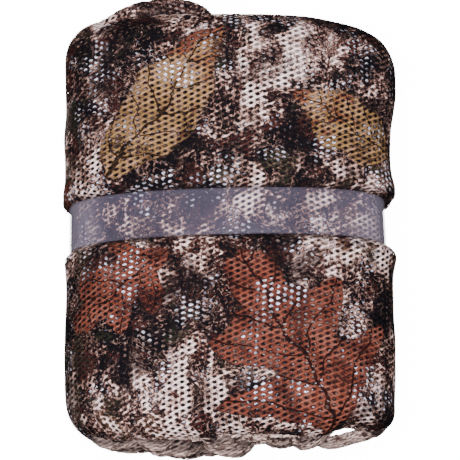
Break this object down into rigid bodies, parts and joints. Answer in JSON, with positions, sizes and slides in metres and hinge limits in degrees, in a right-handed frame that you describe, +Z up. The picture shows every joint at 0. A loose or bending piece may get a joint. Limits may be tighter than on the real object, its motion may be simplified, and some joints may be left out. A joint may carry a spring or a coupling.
{
  "type": "camouflage net, rolled and banded",
  "caption": "Camouflage net of printed mesh cloth, folded into a strip, rolled flat and held round its middle by a clear band.",
  "frame": {"origin": "middle of the footprint, on the surface that the roll lies on", "axes": "+X across the roll to its right, +Y along the roll's axis from foot to head, +Z up"},
  "size_m": [0.1992, 0.2836, 0.0909],
  "materials": {
    "printed_net": "knitted polyester mesh with small lens-shaped holes, printed in bark and leaf colours: brown-black, cream, rust and tan; pale on its reverse side",
    "clear_band": "thin frosted clear plastic film, a little milky, with a soft sheen"
  },
  "bodies": {
    "root": {"net_roll": "printed_net", "band": "clear_band"}
  },
  "joints": []
}
